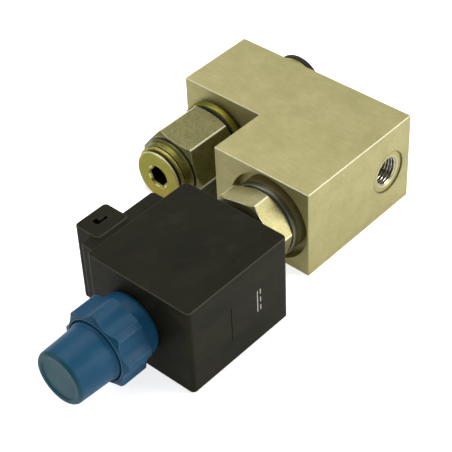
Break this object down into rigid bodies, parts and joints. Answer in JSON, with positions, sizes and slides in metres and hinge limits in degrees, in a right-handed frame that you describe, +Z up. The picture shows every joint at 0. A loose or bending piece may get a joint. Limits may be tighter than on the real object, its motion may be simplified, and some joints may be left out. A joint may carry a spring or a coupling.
{
  "type": "solenoid directional valve",
  "caption": "Solenoid-operated spool valve cartridge in an L-shaped port block, with a swivelling coil, a lobed coil nut, a manual override cap and a check valve beside it.",
  "frame": {"origin": "on the block's base, under the cartridge's axis, midway between the block's front and back faces", "axes": "+Z up out of the block's base; +Y along the cartridge's axis from the coil into the block; +X towards the open side port"},
  "size_m": [0.0937, 0.1866, 0.04],
  "materials": {
    "nickel_plate": "dull warm plating over a milled, finely brushed surface",
    "zinc_yellow": "yellow-passivated zinc plate, fine turned marks",
    "bright_steel": "ground bright steel",
    "soft_iron": "machined soft magnetic iron",
    "black_plastic": "moulded glass-filled nylon, fine texture",
    "blue_plastic": "moulded satin plastic",
    "bobbin_nylon": "natural nylon",
    "copper": "copper",
    "brass": "plain brass",
    "seal_rubber": "matte nitrile rubber"
  },
  "bodies": {
    "valve_body": {"valve_block": "nickel_plate", "cartridge_body": "zinc_yellow", "cartridge_seal": "seal_rubber", "sleeve_seal": "seal_rubber", "nose_seal": "seal_rubber", "armature_tube": "bright_steel", "pole_piece": "soft_iron", "tube_end_plug": "bright_steel", "return_spring": "bright_steel", "spring_seat": "brass", "coil_rear_seal": "seal_rubber", "stud_adapter": "zinc_yellow", "stud_seal": "seal_rubber", "housing_seal": "seal_rubber", "check_housing": "zinc_yellow", "check_spring": "bright_steel", "branch_plug": "zinc_yellow", "plug_seal": "copper", "rear_adapter": "zinc_yellow", "rear_seal": "seal_rubber", "rear_port_cap": "black_plastic"},
    "spool_group": {"armature": "soft_iron", "push_pin": "bright_steel", "spool": "bright_steel"},
    "override_button": {"override_pin": "brass"},
    "coil": {"coil_housing": "black_plastic", "flux_washer_rear": "soft_iron", "flux_washer_front": "soft_iron", "yoke_tube": "soft_iron", "coil_bobbin": "bobbin_nylon", "coil_winding": "copper", "terminal_blade_1": "brass", "terminal_blade_2": "brass"},
    "nut": {"coil_nut": "blue_plastic", "nut_seal": "seal_rubber"},
    "cap": {"override_cap": "blue_plastic"},
    "check": {"check_poppet": "bright_steel"}
  },
  "joints": [
    {"name": "override_push", "type": "slide", "parent": "valve_body", "child": "override_button", "axis": [0, 1, 0], "range_m": [0, 0.0022]},
    {"name": "spool_stroke", "type": "slide", "parent": "valve_body", "child": "spool_group", "axis": [0, 1, 0], "range_m": [0, 0.0022], "deforming": ["return_spring"]},
    {"name": "coil_swivel", "type": "hinge", "parent": "valve_body", "child": "coil", "pos_m": [0, -0.078, 0.02], "axis": [0, 1, 0], "continuous": true},
    {"name": "nut_turn", "type": "hinge", "parent": "valve_body", "child": "nut", "pos_m": [0, -0.113, 0.02], "axis": [0, 1, 0], "continuous": true},
    {"name": "cap_pull", "type": "slide", "parent": "nut", "child": "cap", "axis": [0, -1, 0], "range_m": [0, 0.014]},
    {"name": "check_lift", "type": "slide", "parent": "valve_body", "child": "check", "axis": [0, -1, 0], "range_m": [0, 0.003], "deforming": ["check_spring"]}
  ],
  "couplings": [
    {"joint": "spool_stroke", "follows": "override_push", "ratio": 1}
  ]
}
